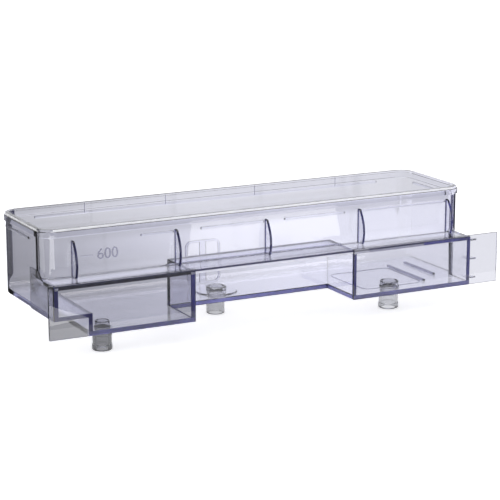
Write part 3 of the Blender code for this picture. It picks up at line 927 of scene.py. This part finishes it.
class TANK_OT_sheets(bpy.types.Operator):
    """Models the flat plates in front, the plate on the left end and the gussets"""

    bl_idname = "tank.sheets"
    bl_label = "Sheets and Gussets"

    def execute(self, context):
        for node in ("left_front_plate", "right_front_plate", "left_side_plate"):
            softened_copy("sheet_" + node, node, acrylic_sheet(), 0.15 * MM)
        for index in range(3):
            node = "wing_gusset_" + str(index + 1)
            softened_copy("moulded_" + node, node, polycarbonate(), 0.15 * MM)
        return {"FINISHED"}


class TANK_OT_inside_details(bpy.types.Operator):
    """Models the level mark with its number, the floor ribs and pad, and the float guide"""

    bl_idname = "tank.inside_details"
    bl_label = "Inside Details"

    def execute(self, context):
        for node in ("level_mark", "floor_rib_1", "floor_rib_2", "float_guide"):
            name = "moulded_" + node
            piece = softened_copy(name, node, polycarbonate(), 0.12 * MM)
            # Painted shade, grey, on the raised pieces' edge faces.
            tint_faces(piece, lambda face: colours().raised if abs(face.normal.y) < 0.5 else None)
        self.number()
        self.floor_pad()
        self.rim_ticks()
        return {"FINISHED"}

    def number(self):
        """A plain raised volume number to the right of the level mark."""
        deselect()
        low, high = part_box("level_mark")
        size = sizes()
        bpy.ops.object.text_add()
        text = bpy.context.object
        text.data.body = "600"
        text.data.size = size.numeral_height * 1.4
        text.data.extrude = 0.15 * MM
        text.data.align_y = "CENTER"
        bpy.ops.object.convert(target="MESH")
        number = bpy.context.object
        number.name = "level_number"
        number.data.transform(Matrix.Rotation(math.pi / 2, 4, "X"))
        place = (high.x + 2.5 * MM, WALL_LOW.y - 0.15 * MM - size.air_gap, (low.z + high.z) / 2)
        number.data.transform(Matrix.Translation(place))
        clean(number)
        keep(number, polycarbonate())
        # Painted shade, grey, over the whole number.
        tint_faces(number, lambda face: colours().numeral)

    def floor_pad(self):
        """A low raised line round the flat pad on the floor of the right box."""
        size = sizes()
        rib_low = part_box("floor_rib_1")[0]
        line, rise, radius = 0.6 * MM, 0.25 * MM, 5.0 * MM
        on_floor = FLOOR_LEVEL + size.wall + size.air_gap
        low = Vector((RIGHT_PLATE_LOW.x + 13.0 * MM, TRAY_LOW.y + 8.7 * MM, on_floor))
        high = Vector((rib_low.x - 1.0 * MM, TRAY_LOW.y + 49.0 * MM, on_floor + rise))
        pad = upright_block("moulded_floor_pad", low, high, radius)
        inside_low = low + Vector((line, line, -1 * MM))
        inside_high = high + Vector((-line, -line, 1 * MM))
        inside = upright_block("inside", inside_low, inside_high, radius - line)
        combine(pad, inside, "DIFFERENCE")
        soften(pad, 0.08 * MM, 1)
        keep(pad, polycarbonate())
        # Painted shade, grey, over the whole pad line.
        tint_faces(pad, lambda face: colours().raised)

    def rim_ticks(self):
        """Four thin upright lines inside the back of the rim."""
        size = sizes()
        inner = WALL_HIGH.y - size.wall
        for index, along in enumerate((48.9, 99.3, 157.3, 212.1)):
            x = WALL_LOW.x + along * MM
            low = (x, inner - 0.2 * MM, RIM_LOW.z - 1.5 * MM)
            high = (x + 0.4 * MM, inner - size.air_gap, RIM_HIGH.z - 0.5 * MM)
            tick = soften(block("moulded_rim_tick_" + str(index + 1), low, high), 0.05 * MM, 1)
            keep(tick, polycarbonate())
            # Painted shade, grey, over the whole tick.
            tint_faces(tick, lambda face: colours().raised)


# ---------------------------------------------------------------- stage

ROOM_TINT = (0.94, 0.95, 1.0, 1.0)
TABLE_TINT = (0.96, 0.965, 1.0, 1.0)
CARD_BLACK = (0.02, 0.02, 0.025, 1.0)
LIGHT_BOUNCES = 32
LEVEL = (0.0, 0.0, 0.0)
FACING_SIDEWAYS = (0.0, math.pi / 2, 0.0)
STRIP_TURN = (0.0, 0.0, math.radians(-17.0))


class TANK_OT_stage(bpy.types.Operator):
    """Sets the pale floor, the soft light, the cards and the camera"""

    bl_idname = "tank.stage"
    bl_label = "Stage"

    def execute(self, context):
        stage = settings()
        self.floor()
        foot = (0.0, 0.0, 0.05)
        self.light("soft_top", place=(0.0, 0.35, 1.3), size=(1.6, 0.9), power=5.0, aim=LEVEL)
        self.light("soft_left", place=(-1.1, -0.2, 0.5), size=(0.5, 1.0), power=2.0, aim=foot)
        self.light("soft_right", place=(1.1, 0.1, 0.45), size=(0.4, 0.9), power=1.5, aim=foot)
        self.room(stage)
        self.light_table()
        self.cards()
        context.scene.view_settings.view_transform = "Standard"
        context.scene.cycles.max_bounces = LIGHT_BOUNCES
        context.scene.cycles.transmission_bounces = LIGHT_BOUNCES
        self.camera(stage)
        return {"FINISHED"}

    def room(self, stage):
        """Bright low down all round and dim overhead, as in a white sweep."""
        world = bpy.data.worlds.new("white sweep room")
        bpy.context.scene.world = world
        world.use_nodes = True
        tree = world.node_tree
        height = add_node(
            tree, "ShaderNodeSeparateXYZ",
            links={0: add_node(tree, "ShaderNodeTexCoord").outputs["Generated"]},
        ).outputs["Z"]
        brightness = add_node(
            tree, "ShaderNodeMapRange",
            {"From Min": 0.25, "From Max": 0.55, "To Min": stage.horizon, "To Max": stage.sky},
            {"Value": height}, interpolation_type="SMOOTHSTEP",
        ).outputs["Result"]
        tree.links.new(brightness, tree.nodes["Background"].inputs["Strength"])
        tree.nodes["Background"].inputs["Color"].default_value = ROOM_TINT

    def light_table(self):
        """A grey glowing sheet that only the clear plastic sees, so that it stands out from the white.

        It grows brighter along the tank, and has its own brightness behind it.
        """
        stage = settings()
        half_length, behind_from, behind_to = 0.13, 0.205, 0.235
        deselect()
        bpy.ops.mesh.primitive_plane_add(size=8.0, location=(0.0, 0.0, cad_box[0].z - 1 * MM))
        table = bpy.context.object
        table.name = "light_table"
        bpy.ops.object.transform_apply(location=True, rotation=True, scale=True)
        table.visible_camera = False
        table.visible_diffuse = False
        table.visible_shadow = False
        material = bpy.data.materials.new("frosted glass")
        material.use_nodes = True
        tree = material.node_tree
        tree.nodes.clear()
        place = add_node(
            tree, "ShaderNodeSeparateXYZ",
            links={0: add_node(tree, "ShaderNodeTexCoord").outputs["Object"]},
        ).outputs
        near, behind = [
            add_node(
                tree, "ShaderNodeMapRange",
                {"From Min": -half_length, "From Max": half_length, "To Min": left, "To Max": right},
                {"Value": place["X"]}, interpolation_type="SMOOTHSTEP",
            ).outputs["Result"]
            for left, right in (
                (stage.table_left, stage.table_right), (stage.table_back_left, stage.table_back_right),
            )
        ]
        back_share = add_node(
            tree, "ShaderNodeMapRange", {"From Min": behind_from, "From Max": behind_to},
            {"Value": place["Y"]}, interpolation_type="SMOOTHSTEP",
        ).outputs["Result"]
        strength = add_node(
            tree, "ShaderNodeMix", links={"Factor": back_share, "A": near, "B": behind}
        ).outputs["Result"]
        glow = add_node(
            tree, "ShaderNodeEmission", {"Color": TABLE_TINT}, {"Strength": strength}
        )
        add_node(tree, "ShaderNodeOutputMaterial", links={"Surface": glow.outputs[0]})
        table.data.materials.append(material)

    def cards(self):
        """Black cards draw dark edges and glowing ones bright streaks, mostly by reflection."""
        self.card(
            "left_card", size=(0.30, 0.35), place=(-0.180, 0.175, 0.15), turn=FACING_SIDEWAYS,
            glow=0.15, seen_through=True,
        )
        self.card("left_floor_card", size=(0.16, 0.40), place=(-0.235, 0.20, 0.001))
        self.card("right_floor_card", size=(0.30, 0.42), place=(0.28, 0.19, 0.001))
        self.card("front_card", size=(1.0, 0.36), place=(0.1, -0.27, 0.002))
        self.middle_sheet()
        self.card(
            "left_strip", size=(0.12, 0.20), place=(-0.180, -0.18, 0.003), turn=STRIP_TURN, glow=3.5
        )
        self.card("top_sheet", size=(1.4, 0.5), place=(0.0, 0.05, 0.9), glow=4.0)

    def middle_sheet(self):
        """A glowing sheet on the floor that brightens the front wall between two fins."""
        near, far = -0.165, -0.26
        lean = math.tan(math.radians(settings().azimuth))
        left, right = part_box("front_rib_2")[1].x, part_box("front_rib_4")[0].x
        centre_y = (near + far) / 2
        centre_x = (left + right) / 2 + lean * (centre_y - WALL_LOW.y)
        sheet = self.card(
            "middle_sheet", size=(right - left, near - far), place=(centre_x, centre_y, 0.003), glow=2.8
        )
        slant = Matrix.Identity(4)
        slant[0][1] = lean
        sheet.data.transform(slant)

    def card(self, name, size, place, turn=LEVEL, glow=0.0, seen_through=False):
        """A card that only reflections see, unless it is seen through the plastic as well."""
        deselect()
        bpy.ops.mesh.primitive_plane_add(size=1.0)
        card = bpy.context.object
        card.name = name
        card.data.transform(Matrix.Diagonal((size[0], size[1], 1.0, 1.0)))
        card.location = place
        card.rotation_euler = turn
        card.visible_camera = False
        card.visible_diffuse = False
        card.visible_shadow = False
        card.visible_transmission = seen_through
        material = bpy.data.materials.new(name)
        material.use_nodes = True
        shader = material.node_tree.nodes["Principled BSDF"].inputs
        shader["Base Color"].default_value = CARD_BLACK
        shader["Roughness"].default_value = 0.9
        shader["Emission Color"].default_value = (1.0, 1.0, 1.0, 1.0)
        shader["Emission Strength"].default_value = glow
        card.data.materials.append(material)
        return card

    def floor(self):
        deselect()
        bpy.ops.mesh.primitive_plane_add(size=30.0, location=(0.0, 0.0, cad_box[0].z))
        floor = bpy.context.object
        floor.name = "pale_floor"
        floor.visible_transmission = False
        bpy.ops.object.transform_apply(location=True, rotation=True, scale=True)
        stage = settings()
        material = bpy.data.materials.new("matt white paint")
        material.use_nodes = True
        tree = material.node_tree
        tree.nodes.clear()
        colour = linear(colours().floor)
        matt = add_node(tree, "ShaderNodeBsdfDiffuse", {"Color": colour})
        glow = add_node(tree, "ShaderNodeEmission", {"Color": colour, "Strength": stage.floor_glow})
        both = add_node(tree, "ShaderNodeAddShader", links={0: matt.outputs[0], 1: glow.outputs[0]})
        add_node(tree, "ShaderNodeOutputMaterial", links={"Surface": both.outputs[0]})
        floor.data.materials.append(material)

    def light(self, name, place, size, power, aim):
        lamp = bpy.data.lights.new(name, "AREA")
        lamp.shape = "RECTANGLE"
        lamp.size, lamp.size_y = size
        lamp.energy = power
        obj = bpy.data.objects.new(name, lamp)
        bpy.context.scene.collection.objects.link(obj)
        obj.location = place
        obj.rotation_euler = (Vector(aim) - Vector(place)).to_track_quat("-Z", "Y").to_euler()

    def camera(self, stage):
        turn, rise = math.radians(stage.azimuth), math.radians(stage.elevation)
        back = Vector((math.sin(turn) * math.cos(rise), -math.cos(turn) * math.cos(rise), math.sin(rise)))
        data = bpy.data.cameras.new("camera")
        data.lens = stage.lens
        camera = bpy.data.objects.new("camera", data)
        bpy.context.scene.collection.objects.link(camera)
        camera.location = Vector(stage.aim) + back * stage.distance
        camera.rotation_euler = (-back).to_track_quat("-Z", "Y").to_euler()
        bpy.context.scene.camera = camera


class TANK_PT_panel(bpy.types.Panel):
    """Lists the tank's pieces and the stage"""

    bl_label = "Water Tank"
    bl_idname = "TANK_PT_panel"
    bl_space_type = "VIEW_3D"
    bl_region_type = "UI"
    bl_category = "Water Tank"

    def draw(self, context):
        for operator in OPERATORS:
            self.layout.operator(operator.bl_idname)
        scene = context.scene
        for group in (scene.tank_sizes, scene.tank_colours, scene.tank_stage):
            for name in group.bl_rna.properties.keys():
                if name not in ("rna_type", "name"):
                    self.layout.prop(group, name)


GROUPS = (TankSizes, TankColours, TankStage)
OPERATORS = (
    TANK_OT_stage,
    TANK_OT_moulded_shell,
    TANK_OT_fins,
    TANK_OT_snap_beads,
    TANK_OT_sheets,
    TANK_OT_outlet_tubes,
    TANK_OT_inside_details,
)


def register():
    for cls in (*GROUPS, *OPERATORS, TANK_PT_panel):
        bpy.utils.register_class(cls)
    bpy.types.Scene.tank_sizes = bpy.props.PointerProperty(type=TankSizes)
    bpy.types.Scene.tank_colours = bpy.props.PointerProperty(type=TankColours)
    bpy.types.Scene.tank_stage = bpy.props.PointerProperty(type=TankStage)


def unregister():
    del bpy.types.Scene.tank_sizes
    del bpy.types.Scene.tank_colours
    del bpy.types.Scene.tank_stage
    for cls in reversed((*GROUPS, *OPERATORS, TANK_PT_panel)):
        bpy.utils.unregister_class(cls)


def main():
    register()
    for operator in OPERATORS:
        group, name = operator.bl_idname.split(".")
        getattr(getattr(bpy.ops, group), name)()


if __name__ == "__main__":
    main()
